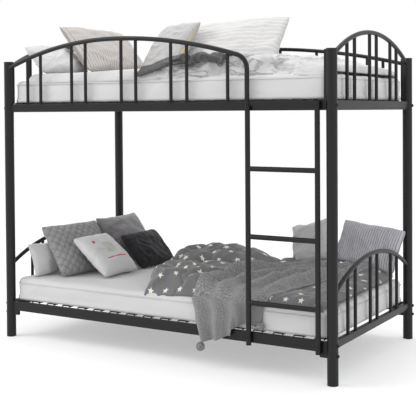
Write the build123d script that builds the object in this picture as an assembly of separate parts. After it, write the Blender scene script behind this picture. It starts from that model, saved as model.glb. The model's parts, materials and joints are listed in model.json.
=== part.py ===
from build123d import *
import math
import os

# Twin-over-twin metal bunk bed with a fixed front ladder and two made-up beds.
# Frame: X along the bed to the right, Y from the ladder side to the back, Z up.
# The origin is on the floor below the middle of the whole outline, throw included.
# Sizes below are measured from the middle of the four posts, and save() moves the
# finished pieces by bed_shift.

# --- driving dimensions, mm ---
POST_SPAN_X = 1920.0        # post centre to post centre along the bed
POST_SPAN_Y = 1006.0        # post centre to post centre across the bed
POST_DIA = 51.0
POST_WALL = 1.5
POST_HEIGHT = 1509.5        # with both caps
CAP_PLUG_PLAY = 0.2         # radial play of a plug inside its tube
TOP_CAP_THICK = 3.5
TOP_CAP_PLUG = 20.0
FOOT_CAP_THICK = 4.0
FOOT_CAP_PLUG = 26.0
CAP_EDGE = 1.2              # rounding of a cap's outer edge

SIDE_RAIL_DEPTH = 20.0      # across the bed
SIDE_RAIL_OUTER = 515.0     # outer face, from the bed's middle
SIDE_RAIL_HALF = 900.0      # half the length of the rail tube
RAIL_WALL = 1.5
UPPER_RAIL_TOP = 1277.0
UPPER_RAIL_HIGH = 43.5
LOWER_RAIL_TOP = 196.0
LOWER_RAIL_HIGH = 50.0

END_RAIL_WIDE = 25.0
UPPER_END_RAIL_TOP = 1278.0
UPPER_END_RAIL_HIGH = 44.5
LOWER_END_RAIL_TOP = 197.0
LOWER_END_RAIL_HIGH = 37.0
END_RAIL_LIP_WIDE = 14.0    # narrower flange under the end rail
END_RAIL_LIP_HIGH = 10.0

ARCH_DIA = 22.0
TUBE_WALL = 1.2
ARCH_RADIUS = 979.0         # centre line of an end arch
UPPER_ARCH_PEAK = 1611.0    # centre line at its highest point
LOWER_ARCH_PEAK = 531.0
END_BALUSTER_DIA = 17.0
END_BALUSTER_Y = (-328.0, -237.0, -45.0, 45.0, 237.0, 328.0)

GUARD_Y = 512.0             # front guard's plane, towards the ladder side
GUARD_DIA = 23.0
GUARD_PEAK_X = -265.0
GUARD_PEAK_Z = 1604.5
GUARD_LEFT_RADIUS = 1850.0
GUARD_RIGHT_RADIUS = 2700.0
GUARD_END_X = 535.0         # the upright end, beside the ladder opening
GUARD_BEND = 75.0
GUARD_LAP_BOTTOM = 1257.0
GUARD_BALUSTER_DIA = 17.0
GUARD_BALUSTER_X = (-815.0, -724.0, -512.0, -420.0, -191.0, -101.0, 110.0, 202.0, 431.0)

BACK_GUARD_Y = 511.0
BACK_GUARD_DIA = 21.0
BACK_GUARD_PEAK = 1591.5
BACK_GUARD_RADIUS = 3970.0
BACK_PAIRS_X = (106.0, 196.0, 425.0, 517.0, 729.0, 820.0)

STRIP_THICK = 8.0           # flat bar welded to the bed side of each post
STRIP_WIDE = 20.0
STRIP_BOTTOM = 1279.0

LADDER_Y = 527.5            # stile centre line, in front of the rails
STILE_DIA = 25.0
STILE_LEFT_X = 545.0
STILE_RIGHT_X = 900.0
STILE_BOTTOM = 137.0
STILE_LEFT_TOP = 1256.5
STILE_RIGHT_TOP = 1277.0
STILE_CAP = 2.0
RUNG_DIA = 24.0
RUNG_Z = (337.0, 646.0, 963.0)

SLAT_COUNT = 18
SLAT_PITCH = 105.0
SLAT_WIDE = 50.0
SLAT_HIGH = 8.0
SLAT_THICK = 1.5
SLAT_HALF = 501.0

BOLT_DIA = 6.0
BOLT_HOLE = 6.4
FRAME_HEAD_DIA = 16.0
FRAME_HEAD_HIGH = 8.0
LADDER_HEAD_DIA = 12.0
LADDER_HEAD_HIGH = 3.2
NUT_FLATS = 10.0
NUT_HIGH = 5.0
UPPER_BOLT_Z = 1255.5
LOWER_BOLT_Z = (180.0, 134.0)

TONGUE_DEPTH = 14.0         # rail end bracket, across the bed
TONGUE_WALL = 1.8
TONGUE_INNER_X = 868.0
TONGUE_END_WALL_X = 922.0
LOWER_BRACKET_BOTTOM = 122.0

MATTRESS_LONG = 1880.0
MATTRESS_WIDE = 984.0
MATTRESS_HIGH = 120.0
MATTRESS_GAP = 0.5          # clear of the slats
MATTRESS_CORNER = 30.0
MATTRESS_EDGE = 18.0

CUSHION_BEVEL = 0.36        # share of a cushion's short side that slopes to its seam
POMPOM_DIA = 42.0
POMPOM_Y = 541.0            # the outer pompom hangs in front of the lower rail

post_x = POST_SPAN_X / 2
post_y = POST_SPAN_Y / 2
post_r = POST_DIA / 2
rail_inner = SIDE_RAIL_OUTER - SIDE_RAIL_DEPTH
rail_mid = SIDE_RAIL_OUTER - SIDE_RAIL_DEPTH / 2
upper_deck = UPPER_RAIL_TOP + SLAT_HIGH
lower_deck = LOWER_RAIL_TOP + SLAT_HIGH
upper_top = upper_deck + MATTRESS_GAP + MATTRESS_HIGH
lower_top = lower_deck + MATTRESS_GAP + MATTRESS_HIGH
corners = [(sx, sy) for sx in (-1, 1) for sy in (-1, 1)]
# moves the bed from the posts' middle to the middle of its whole outline
bed_shift = Pos(0, (POMPOM_Y + POMPOM_DIA / 2 - post_y - post_r) / 2, 0)
SIDE_NAME = {-1: "left", 1: "right"}
FACE_NAME = {-1: "front", 1: "back"}


def save(name, shape):
    os.makedirs("parts", exist_ok=True)
    export_step(bed_shift * shape, f"parts/{name}.step")


def group(name, pieces):
    os.makedirs("parts", exist_ok=True)
    export_step(Compound(children=[bed_shift * piece for piece in pieces]), f"parts/{name}.step")


def span_box(x0, x1, y0, y1, z0, z1):
    return Pos((x0 + x1) / 2, (y0 + y1) / 2, (z0 + z1) / 2) * Box(x1 - x0, y1 - y0, z1 - z0)


def rod_z(x, y, z0, z1, dia):
    return Pos(x, y, (z0 + z1) / 2) * Cylinder(dia / 2, z1 - z0)


def rod_x(x0, x1, y, z, dia):
    return Pos((x0 + x1) / 2, y, z) * Rot(0, 90, 0) * Cylinder(dia / 2, x1 - x0)


def rod_y(y0, y1, x, z, dia):
    return Pos(x, (y0 + y1) / 2, z) * Rot(90, 0, 0) * Cylinder(dia / 2, y1 - y0)


def ring_sweep(path, dia, wall):
    """A bent round tube along a path, or a solid bar where wall is 0."""
    start = Plane(origin=path @ 0, z_dir=path % 0)
    section = Circle(dia / 2)
    if wall:
        section = section - Circle(dia / 2 - wall)
    return sweep(start * section, path=path)


def post_solid(sx, sy):
    return rod_z(sx * post_x, sy * post_y, 0, POST_HEIGHT, POST_DIA)


def strip_solid(sx, sy):
    """Flat bar on the bed side of a post, from the upper rail to the post's top."""
    inner = post_x - post_r - STRIP_THICK
    x0, x1 = sorted((sx * inner, sx * (post_x - 20)))
    y = sy * post_y
    bar = span_box(x0, x1, y - STRIP_WIDE / 2, y + STRIP_WIDE / 2, STRIP_BOTTOM, POST_HEIGHT - TOP_CAP_THICK)
    return bar - post_solid(sx, sy)


# --- posts and their caps ---
def frame_bolt_heights(upper):
    return (UPPER_BOLT_Z,) if upper else LOWER_BOLT_Z


def make_posts():
    bolt_heights = frame_bolt_heights(True) + frame_bolt_heights(False)
    for sx, sy in corners:
        x, y = sx * post_x, sy * post_y
        z0, z1 = FOOT_CAP_THICK, POST_HEIGHT - TOP_CAP_THICK
        tube = rod_z(x, y, z0, z1, POST_DIA) - rod_z(x, y, z0 - 1, z1 + 1, POST_DIA - 2 * POST_WALL)
        for z in bolt_heights:
            tube -= rod_x(x - POST_DIA, x + POST_DIA, sy * rail_mid, z, BOLT_HOLE)
        save(f"post_{FACE_NAME[sy]}_{SIDE_NAME[sx]}", tube)


def make_caps():
    plug_dia = POST_DIA - 2 * POST_WALL - 2 * CAP_PLUG_PLAY
    tops, feet = [], []
    for sx, sy in corners:
        x, y = sx * post_x, sy * post_y
        z_rim = POST_HEIGHT - TOP_CAP_THICK
        rim = rod_z(x, y, z_rim, POST_HEIGHT, POST_DIA)
        rim = fillet(rim.edges().group_by(Axis.Z)[-1], CAP_EDGE)
        tops.append(rim + rod_z(x, y, z_rim - TOP_CAP_PLUG, z_rim, plug_dia))
        sole = rod_z(x, y, 0, FOOT_CAP_THICK, POST_DIA)
        sole = fillet(sole.edges().group_by(Axis.Z)[0], CAP_EDGE)
        feet.append(sole + rod_z(x, y, FOOT_CAP_THICK, FOOT_CAP_THICK + FOOT_CAP_PLUG, plug_dia))
    group("post_top_caps", tops)
    group("post_foot_caps", feet)


def make_strips():
    group("guard_mounting_strips", [strip_solid(sx, sy) for sx, sy in corners])


# --- bed ends: rail, arch and balusters between two posts ---
def end_rail(sx, top, high):
    x = sx * post_x
    reach = post_y
    wide, lip = END_RAIL_WIDE / 2, END_RAIL_LIP_WIDE / 2
    shelf = top - high + END_RAIL_LIP_HIGH
    rail = span_box(x - wide, x + wide, -reach, reach, shelf, top)
    rail = fillet(rail.edges().filter_by(Axis.Y), 3)
    rail += span_box(x - lip, x + lip, -reach, reach, top - high, shelf)
    hollow = wide - RAIL_WALL
    rail -= span_box(x - hollow, x + hollow, -reach - 1, reach + 1, shelf + RAIL_WALL, top - RAIL_WALL)
    for sy in (-1, 1):
        rail -= post_solid(sx, sy)
    return rail


def arch_path(sx, peak):
    half = post_y - 5
    rise = ARCH_RADIUS - math.sqrt(ARCH_RADIUS**2 - half**2)
    x = sx * post_x
    return ThreePointArc((x, -half, peak - rise), (x, 0, peak), (x, half, peak - rise))


def make_bed_ends():
    levels = (
        ("upper", UPPER_END_RAIL_TOP, UPPER_END_RAIL_HIGH, UPPER_ARCH_PEAK),
        ("lower", LOWER_END_RAIL_TOP, LOWER_END_RAIL_HIGH, LOWER_ARCH_PEAK),
    )
    for level, top, high, peak in levels:
        for sx in (-1, 1):
            side = SIDE_NAME[sx]
            save(f"end_rail_{level}_{side}", end_rail(sx, top, high))
            arch = ring_sweep(arch_path(sx, peak), ARCH_DIA, TUBE_WALL)
            full_arch = ring_sweep(arch_path(sx, peak), ARCH_DIA, 0)
            for sy in (-1, 1):
                arch -= post_solid(sx, sy)
            save(f"end_arch_{level}_{side}", arch)
            bars = []
            for y in END_BALUSTER_Y:
                z_arch = peak - ARCH_RADIUS + math.sqrt(ARCH_RADIUS**2 - y**2)
                bar = rod_z(sx * post_x, y, top, z_arch, END_BALUSTER_DIA)
                bar -= rod_z(sx * post_x, y, top - 1, z_arch, END_BALUSTER_DIA - 2 * TUBE_WALL)
                bars.append(bar - full_arch)
            group(f"end_balusters_{level}_{side}", bars)


# --- side rails, their end brackets and the slats ---
def ladder_bolt_places():
    """x and z of each bolt through a stile and a front rail."""
    return (
        (STILE_LEFT_X, 1245.0),
        (STILE_RIGHT_X, 1257.0),
        (STILE_LEFT_X, 171.0),
        (STILE_RIGHT_X, 171.0),
    )


def side_rail(sy, top, high):
    y0, y1 = sorted((sy * rail_inner, sy * SIDE_RAIL_OUTER))
    rail = span_box(-SIDE_RAIL_HALF, SIDE_RAIL_HALF, y0, y1, top - high, top)
    rail = fillet(rail.edges().filter_by(Axis.X), 2.5)
    rail -= span_box(
        -SIDE_RAIL_HALF - 1, SIDE_RAIL_HALF + 1, y0 + RAIL_WALL, y1 - RAIL_WALL,
        top - high + RAIL_WALL, top - RAIL_WALL,
    )
    if sy < 0:
        for x, z in ladder_bolt_places():
            if top - high < z < top:
                rail -= rod_y(y0 - 5, y1 + 5, x, z, BOLT_HOLE)
    return rail


def make_side_rails():
    levels = (("upper", UPPER_RAIL_TOP, UPPER_RAIL_HIGH), ("lower", LOWER_RAIL_TOP, LOWER_RAIL_HIGH))
    for level, top, high in levels:
        for sy in (-1, 1):
            save(f"side_rail_{level}_{FACE_NAME[sy]}", side_rail(sy, top, high))


def end_bracket(sx, sy, upper):
    """Hollow tongue welded in the rail's end and bolted to the post."""
    top = UPPER_RAIL_TOP if upper else LOWER_RAIL_TOP
    high = UPPER_RAIL_HIGH if upper else LOWER_RAIL_HIGH
    z0, z1 = top - high + RAIL_WALL, top - RAIL_WALL
    head_bottom = z0 if upper else LOWER_BRACKET_BOTTOM
    y = sy * rail_mid
    half = TONGUE_DEPTH / 2
    pocket = half - TONGUE_WALL
    tongue = span_box(TONGUE_INNER_X, SIDE_RAIL_HALF + 0.2, y - half, y + half, z0, z1)
    head = span_box(SIDE_RAIL_HALF + 0.2, post_x - 15, y - half, y + half, head_bottom, z1)
    bracket = tongue + head
    bracket -= span_box(
        TONGUE_INNER_X - 1, SIDE_RAIL_HALF + 0.2, y - pocket, y + pocket, z0 + TONGUE_WALL, z1 - TONGUE_WALL
    )
    bracket -= span_box(
        SIDE_RAIL_HALF + 0.1, TONGUE_END_WALL_X, y - pocket, y + pocket,
        head_bottom + TONGUE_WALL, z1 - TONGUE_WALL,
    )
    bracket -= post_solid(1, sy)
    for z in frame_bolt_heights(upper):
        bracket -= rod_x(TONGUE_INNER_X, post_x, y, z, BOLT_HOLE)
    if sx < 0:
        return mirror(bracket, about=Plane.YZ)
    if sy < 0:
        for x, z in ladder_bolt_places():
            if x == STILE_RIGHT_X and z0 < z < z1:
                bracket -= rod_y(y - TONGUE_DEPTH, y + TONGUE_DEPTH, x, z, BOLT_HOLE)
    return bracket


def make_brackets():
    group("rail_brackets_upper", [end_bracket(sx, sy, True) for sx, sy in corners])
    group("rail_brackets_lower", [end_bracket(sx, sy, False) for sx, sy in corners])


def slat(x, deck):
    """Roll-formed steel slat, a shallow channel open underneath, lying on both rails."""
    half = SLAT_WIDE / 2
    body = span_box(x - half, x + half, -SLAT_HALF, SLAT_HALF, deck - SLAT_HIGH, deck)
    body = fillet(body.edges().filter_by(Axis.Y).group_by(Axis.Z)[-1], 4)
    inner = half - SLAT_THICK
    return body - span_box(
        x - inner, x + inner, -SLAT_HALF - 1, SLAT_HALF + 1, deck - SLAT_HIGH - 1, deck - SLAT_THICK - 1.5
    )


def make_slats():
    first = -SLAT_PITCH * (SLAT_COUNT - 1) / 2
    places = [first + SLAT_PITCH * i for i in range(SLAT_COUNT)]
    group("slats_upper", [slat(x, upper_deck) for x in places])
    group("slats_lower", [slat(x, lower_deck) for x in places])


# --- guards of the upper bunk ---
def guard_drop(x):
    """How far the front guard's centre line is below its peak at x."""
    radius = GUARD_LEFT_RADIUS if x < GUARD_PEAK_X else GUARD_RIGHT_RADIUS
    return radius - math.sqrt(radius**2 - (x - GUARD_PEAK_X) ** 2)


def front_guard_path():
    start_x = -post_x + 5
    bend_x = (GUARD_END_X - GUARD_BEND - GUARD_BEND * GUARD_PEAK_X / GUARD_RIGHT_RADIUS) / (
        1 - GUARD_BEND / GUARD_RIGHT_RADIUS
    )
    slope = math.asin((bend_x - GUARD_PEAK_X) / GUARD_RIGHT_RADIUS)
    y = -GUARD_Y
    mid_left = (start_x + GUARD_PEAK_X) / 2
    mid_right = (bend_x + GUARD_PEAK_X) / 2

    def on_arc(x):
        return (x, y, GUARD_PEAK_Z - guard_drop(x))

    left = ThreePointArc(on_arc(start_x), on_arc(mid_left), on_arc(GUARD_PEAK_X))
    right = ThreePointArc(on_arc(GUARD_PEAK_X), on_arc(mid_right), on_arc(bend_x))
    centre_x = GUARD_END_X - GUARD_BEND
    centre_z = GUARD_PEAK_Z - guard_drop(bend_x) - GUARD_BEND * math.cos(slope)
    half_turn = (math.pi / 2 - slope) / 2
    mid = (centre_x + GUARD_BEND * math.cos(half_turn), y, centre_z + GUARD_BEND * math.sin(half_turn))
    bend = ThreePointArc(on_arc(bend_x), mid, (GUARD_END_X, y, centre_z))
    drop = Line((GUARD_END_X, y, centre_z), (GUARD_END_X, y, GUARD_LAP_BOTTOM))
    return Wire([left, right, bend, drop])


def rail_block(sy):
    y0, y1 = sorted((sy * (rail_inner - 20), sy * SIDE_RAIL_OUTER))
    return span_box(-SIDE_RAIL_HALF, SIDE_RAIL_HALF, y0, y1, UPPER_RAIL_TOP - 60, UPPER_RAIL_TOP)


def make_front_guard():
    path = front_guard_path()
    tube = ring_sweep(path, GUARD_DIA, TUBE_WALL)
    full = ring_sweep(path, GUARD_DIA, 0)
    tube -= post_solid(-1, -1)
    tube -= strip_solid(-1, -1)
    tube -= rail_block(-1)
    save("front_guard_tube", max(tube.solids(), key=lambda s: s.volume))
    bars = []
    for x in GUARD_BALUSTER_X:
        z_arc = GUARD_PEAK_Z - guard_drop(x)
        bar = rod_z(x, -GUARD_Y, UPPER_RAIL_TOP, z_arc, GUARD_BALUSTER_DIA)
        bar -= rod_z(x, -GUARD_Y, UPPER_RAIL_TOP - 1, z_arc, GUARD_BALUSTER_DIA - 2 * TUBE_WALL)
        bars.append(bar - full)
    group("front_guard_balusters", bars)


def make_back_guard():
    half = post_x - 5
    rise = BACK_GUARD_RADIUS - math.sqrt(BACK_GUARD_RADIUS**2 - half**2)
    y = BACK_GUARD_Y
    ends_z = BACK_GUARD_PEAK - rise
    path = ThreePointArc((-half, y, ends_z), (0, y, BACK_GUARD_PEAK), (half, y, ends_z))
    tube = ring_sweep(path, BACK_GUARD_DIA, TUBE_WALL)
    full = ring_sweep(path, BACK_GUARD_DIA, 0)
    for sx in (-1, 1):
        tube -= post_solid(sx, 1)
        tube -= strip_solid(sx, 1)
    save("back_guard_tube", max(tube.solids(), key=lambda s: s.volume))
    bars = []
    for x in sorted([-p for p in BACK_PAIRS_X] + list(BACK_PAIRS_X)):
        z_arc = BACK_GUARD_PEAK - BACK_GUARD_RADIUS + math.sqrt(BACK_GUARD_RADIUS**2 - x**2)
        bar = rod_z(x, y, UPPER_RAIL_TOP, z_arc, GUARD_BALUSTER_DIA)
        bar -= rod_z(x, y, UPPER_RAIL_TOP - 1, z_arc, GUARD_BALUSTER_DIA - 2 * TUBE_WALL)
        bars.append(bar - full)
    group("back_guard_balusters", bars)


# --- ladder ---
def make_ladder():
    y = -LADDER_Y
    inner = STILE_DIA - 2 * TUBE_WALL
    tops = {STILE_LEFT_X: STILE_LEFT_TOP, STILE_RIGHT_X: STILE_RIGHT_TOP}
    caps = []
    for name, x in (("left", STILE_LEFT_X), ("right", STILE_RIGHT_X)):
        z0, z1 = STILE_BOTTOM + STILE_CAP, tops[x] - STILE_CAP
        tube = rod_z(x, y, z0, z1, STILE_DIA) - rod_z(x, y, z0 - 1, z1 + 1, inner)
        for bolt_x, z in ladder_bolt_places():
            if bolt_x == x:
                tube -= rod_y(y - STILE_DIA, y + STILE_DIA, x, z, BOLT_HOLE)
        save(f"ladder_stile_{name}", tube)
        plug = inner - 2 * CAP_PLUG_PLAY
        caps.append(rod_z(x, y, z1, tops[x], STILE_DIA) + rod_z(x, y, z1 - 6, z1, plug))
        caps.append(rod_z(x, y, STILE_BOTTOM, z0, STILE_DIA) + rod_z(x, y, z0, z0 + 12, plug))
    group("ladder_end_caps", caps)
    for number, z in enumerate(RUNG_Z, start=1):
        rung = rod_x(STILE_LEFT_X, STILE_RIGHT_X, y, z, RUNG_DIA)
        rung -= rod_x(STILE_LEFT_X - 1, STILE_RIGHT_X + 1, y, z, RUNG_DIA - 2 * TUBE_WALL)
        for x in tops:
            rung -= rod_z(x, y, z - 40, z + 40, STILE_DIA)
        save(f"ladder_rung_{number}", rung)


# --- bolts and nuts ---
def domed_bolt(head_dia, head_high, length):
    """Bolt along +Z with its head's flat side at the origin and the shank above it."""
    head = Cylinder(head_dia / 2, head_high, align=(Align.CENTER, Align.CENTER, Align.MAX))
    head = fillet(head.edges().group_by(Axis.Z)[0], head_high * 0.9)
    shank = Cylinder(BOLT_DIA / 2, length, align=(Align.CENTER, Align.CENTER, Align.MIN))
    socket = Pos(0, 0, -head_high) * extrude(RegularPolygon(2.3, 6), head_high * 0.5)
    return head + shank - socket


def hex_nut():
    body = extrude(RegularPolygon(NUT_FLATS / 2, 6, major_radius=False), NUT_HIGH)
    return body - Cylinder(BOLT_DIA / 2, 3 * NUT_HIGH)


def make_fasteners():
    bolts, nuts = [], []
    seat = post_x + post_r
    for sx, sy in corners:
        for z in (UPPER_BOLT_Z,) + LOWER_BOLT_Z:
            turn = Rot(0, -90, 0) if sx > 0 else Rot(0, 90, 0)
            length = seat - TONGUE_END_WALL_X + NUT_HIGH + 2
            place = Pos(sx * seat, sy * rail_mid, z) * turn
            bolts.append(place * domed_bolt(FRAME_HEAD_DIA, FRAME_HEAD_HIGH, length))
            nut_place = Pos(sx * TONGUE_END_WALL_X, sy * rail_mid, z) * turn
            nuts.append(nut_place * hex_nut())
    group("frame_bolts", bolts)
    group("frame_nuts", nuts)

    bolts, nuts = [], []
    front = -LADDER_Y - STILE_DIA / 2
    length = SIDE_RAIL_OUTER - rail_inner + STILE_DIA + NUT_HIGH + 1
    for x, z in ladder_bolt_places():
        bolt = domed_bolt(LADDER_HEAD_DIA, LADDER_HEAD_HIGH, length)
        bolts.append(Pos(x, front, z) * Rot(-90, 0, 0) * bolt)
        nuts.append(Pos(x, -rail_inner, z) * Rot(-90, 0, 0) * hex_nut())
    group("ladder_bolts", bolts)
    group("ladder_nuts", nuts)


# --- bedding, as plain closed solids ---
def mattress(deck):
    low = deck + MATTRESS_GAP
    body = Pos(0, 0, low + MATTRESS_HIGH / 2) * Box(MATTRESS_LONG, MATTRESS_WIDE, MATTRESS_HIGH)
    body = fillet(body.edges().filter_by(Axis.Z), MATTRESS_CORNER)
    return fillet(body.edges().group_by(Axis.Z)[0] + body.edges().group_by(Axis.Z)[-1], MATTRESS_EDGE)


def cushion(width, height, thick, edge=20.0):
    """Plump cushion standing on its long edge: width in X, thickness in Y, height in Z."""
    inset = CUSHION_BEVEL * min(width, height)
    rim, crest = edge / 2, thick / 2
    body = extrude(Plane.XZ * Rectangle(width, height), rim, both=True)
    for side in (-1, 1):
        outer = Plane.XZ.offset(side * rim) * Rectangle(width, height)
        inner = Plane.XZ.offset(side * crest) * Rectangle(width - 2 * inset, height - 2 * inset)
        body += loft([outer, inner], ruled=True)
    return body


def leaning(foot, turn, lean, spin, width, height, thick):
    """Cushion whose lower edge's middle is at foot.

    turn swings it about Z from facing the ladder side, lean tips its top back,
    and spin rolls it in its own plane.
    """
    place = Pos(*foot) * Rot(0, 0, turn) * Rot(-lean, 0, 0) * Rot(0, spin, 0)
    return place * Pos(0, 0, height / 2) * cushion(width, height, thick)


def dome_band(x0, x1, half, low, edge, crown, thick=0.0):
    """Prism along X: a low arch over a flat bottom, or a sheet of that thickness on it."""
    top = ThreePointArc((x0, half, low + edge), (x0, 0, low + crown), (x0, -half, low + edge))
    if thick:
        under = ThreePointArc((x0, -half, low + edge), (x0, 0, low + crown), (x0, half, low + edge))
        side_z, middle_z = low + edge + thick, low + crown + thick
        over = ThreePointArc((x0, half, side_z), (x0, 0, middle_z), (x0, -half, side_z))
        sides = [
            Line((x0, half, low + edge), (x0, half, low + edge + thick)),
            Line((x0, -half, low + edge + thick), (x0, -half, low + edge)),
        ]
        outline = Wire([under, sides[0], over, sides[1]])
    else:
        outline = Wire([
            top,
            Line((x0, -half, low + edge), (x0, -half, low)),
            Line((x0, -half, low), (x0, half, low)),
            Line((x0, half, low), (x0, half, low + edge)),
        ])
    return extrude(Face(outline), x1 - x0, dir=(1, 0, 0))


def plan_prism(points, z0, z1):
    return Pos(0, 0, z0) * extrude(make_face(Polyline(*points, close=True)), z1 - z0)


UPPER_DUVET = {"half": 462.0, "low": upper_top + 0.5, "edge": 12.0, "crown": 52.0}
LOWER_DUVET = {"half": 466.0, "low": lower_top + 0.5, "edge": 12.0, "crown": 58.0}
CLOTH_GAP = 0.6


def make_upper_bedding():
    save("mattress_upper", mattress(upper_deck))
    save("duvet_upper", dome_band(-860, 925, **UPPER_DUVET))
    over = dict(UPPER_DUVET, low=UPPER_DUVET["low"] + CLOTH_GAP)
    scarf = dome_band(-70, 300, thick=14, **over)
    outline = [(-70, -380), (160, -300), (300, 60), (20, 60)]
    save("scarf_upper", scarf & plan_prism(outline, upper_top, upper_top + 200))
    save("pillow_small_upper", leaning((-768, -250, 1464), 90, 45, 0, 370, 165, 76))
    save("pillow_beige_upper", leaning((-662, 108, 1474), 90, 39, 0, 590, 305, 96))
    save("cushion_piped_upper", leaning((-440, 178, 1474), -25, 34, 0, 365, 320, 90))
    save("pillow_linen_upper", leaning((0, 232, 1484), 1, 40, -3, 580, 345, 100))


def make_lower_bedding():
    save("mattress_lower", mattress(lower_deck))
    top = lower_top + 200
    plan = [(-400, 466), (-400, -90), (-70, -466), (905, -466), (905, 466)]
    save("duvet_lower", dome_band(-400, 905, **LOWER_DUVET) & plan_prism(plan, lower_top, top))
    make_throw(top)
    save("pillow_white_lower", leaning((-842, -160, 334), 90, 18, 0, 540, 165, 70))
    save("cushion_quilted_lower", leaning((-672, -168, 336), 80, 36, 0, 396, 300, 84))
    save("cushion_velvet_lower", leaning((-645, 262, 336), 90, 33, 0, 380, 300, 84))
    save("cushion_charcoal_lower", leaning((-482, 232, 336), 90, 40, 0, 340, 215, 80))
    save("cushion_print_lower", leaning((-464, -148, 337), 90, 50, 0, 290, 290, 78))
    save("cushion_plush_lower", leaning((440, 372, 378), -12, 20, 0, 290, 250, 100))
    save("pillow_lined_lower", leaning((755, 372, 396), 0, 25, 8, 350, 225, 84))


def make_throw(top):
    """Knitted throw laid over the duvet and hanging over the ladder side, with two pompoms."""
    over = dict(LOWER_DUVET, low=LOWER_DUVET["low"] + CLOTH_GAP)
    thick = 11.0
    plan = [(250, -466), (620, -466), (700, 250), (430, 300)]
    band = dome_band(250, 700, thick=thick, **over) & plan_prism(plan, lower_top, top)
    hem_top = over["low"] + over["edge"] + thick
    fold_y, face_y = 505.5, 493.5
    hang_left, split, hang_right = 250.0, 472.0, 620.0
    rail_clear = lower_deck + 2.5
    band += span_box(hang_left, hang_right, -fold_y, -465, hem_top - thick, hem_top)
    band += span_box(hang_left, split, -fold_y, -face_y, rail_clear, hem_top)
    band += span_box(split, hang_right, -fold_y, -face_y, rail_clear + 40, hem_top)
    outer_y, inner_y = SIDE_RAIL_OUTER + 15.5, SIDE_RAIL_OUTER + 4.5
    band += span_box(hang_left, split, -outer_y, -face_y, rail_clear, rail_clear + thick)
    band += span_box(hang_left, split, -outer_y, -inner_y, 142, rail_clear + thick)
    save("throw_lower", band)
    outer = Pos(287, -POMPOM_Y, 101) * Sphere(POMPOM_DIA / 2)
    outer += rod_z(287, -SIDE_RAIL_OUTER - 10, 105, 141.5, 4)
    inner = Pos(600, -512.5, rail_clear + 19.5) * Sphere(18)
    group("throw_pompoms", [outer, inner])


def main():
    make_posts()
    make_caps()
    make_strips()
    make_bed_ends()
    make_side_rails()
    make_brackets()
    make_slats()
    make_front_guard()
    make_back_guard()
    make_ladder()
    make_fasteners()
    make_upper_bedding()
    make_lower_bedding()


main()
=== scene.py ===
import json
import math

import bmesh
import bpy
from bpy.props import FloatProperty, FloatVectorProperty, PointerProperty
from mathutils import Matrix, Vector, noise


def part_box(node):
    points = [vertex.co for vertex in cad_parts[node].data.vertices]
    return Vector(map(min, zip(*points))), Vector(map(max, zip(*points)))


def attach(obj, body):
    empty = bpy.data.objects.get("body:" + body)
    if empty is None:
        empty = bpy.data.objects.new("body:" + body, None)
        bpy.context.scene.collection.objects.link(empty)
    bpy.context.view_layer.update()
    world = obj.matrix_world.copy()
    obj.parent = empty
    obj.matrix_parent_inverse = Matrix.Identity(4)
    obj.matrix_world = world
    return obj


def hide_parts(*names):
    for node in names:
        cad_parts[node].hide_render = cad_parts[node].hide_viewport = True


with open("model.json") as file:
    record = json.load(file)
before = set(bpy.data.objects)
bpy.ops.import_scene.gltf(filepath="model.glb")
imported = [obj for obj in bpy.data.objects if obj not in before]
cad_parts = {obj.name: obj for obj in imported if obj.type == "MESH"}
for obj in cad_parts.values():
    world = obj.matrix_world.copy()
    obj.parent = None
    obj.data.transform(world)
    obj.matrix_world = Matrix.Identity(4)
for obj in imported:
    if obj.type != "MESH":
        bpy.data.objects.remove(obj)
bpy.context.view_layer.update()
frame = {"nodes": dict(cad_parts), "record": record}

bl_info = {
    "name": "Bunk Bed",
    "version": (1, 0, 0),
    "blender": (4, 5, 0),
    "location": "View3D > Sidebar > Bunk Bed",
    "description": "Finishes a steel bunk bed and makes both of its beds",
    "category": "Object",
}

MM = 0.001
BED_MIDDLE_Y = (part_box("post_front_left")[0].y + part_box("post_back_left")[1].y) / 2
LOWER_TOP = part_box("mattress_lower")[1].z
UPPER_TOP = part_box("mattress_upper")[1].z
RAIL_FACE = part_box("side_rail_lower_front")[0].y
RAIL_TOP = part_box("side_rail_lower_front")[1].z
MATTRESS_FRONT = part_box("mattress_lower")[0].y

# Mattresses
MATTRESS_CORNER = 0.045
MATTRESS_RIM = 0.034
MATTRESS_PIPING = 0.0022

# Duvets: how wide the rounding of each one's edge is
UPPER_ROLL = 0.040
LOWER_ROLL = 0.085

# Throw: half the width of the bedding that it lies over, and the share of its length that lies there
THROW_EDGE = 0.487
THROW_TOP_SHARE = 0.70
# Height of the throw's hem along its width, from its left edge (0) to its right edge (1)
HEM_PROFILE = ((0.0, 0.126), (0.30, 0.142), (0.52, 0.168), (0.60, 0.208), (0.78, 0.232), (1.0, 0.212))

# Pompoms: distance of the centre from the corner of their box, and radius
OUTER_POMPOM = (0.0215, 0.0225)
INNER_POMPOM = (0.018, 0.0195)
STRING_RADIUS = 0.002
STRING_LENGTH = 0.03

# Cloth simulation of the cushions: the longest move that a point may make, in metres
PUFF_PRESSURE = 0.30
PUFF_LIMIT = 0.012
PUFF_FRAMES = 20
PUFF_STIFFNESS = 25.0

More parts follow.
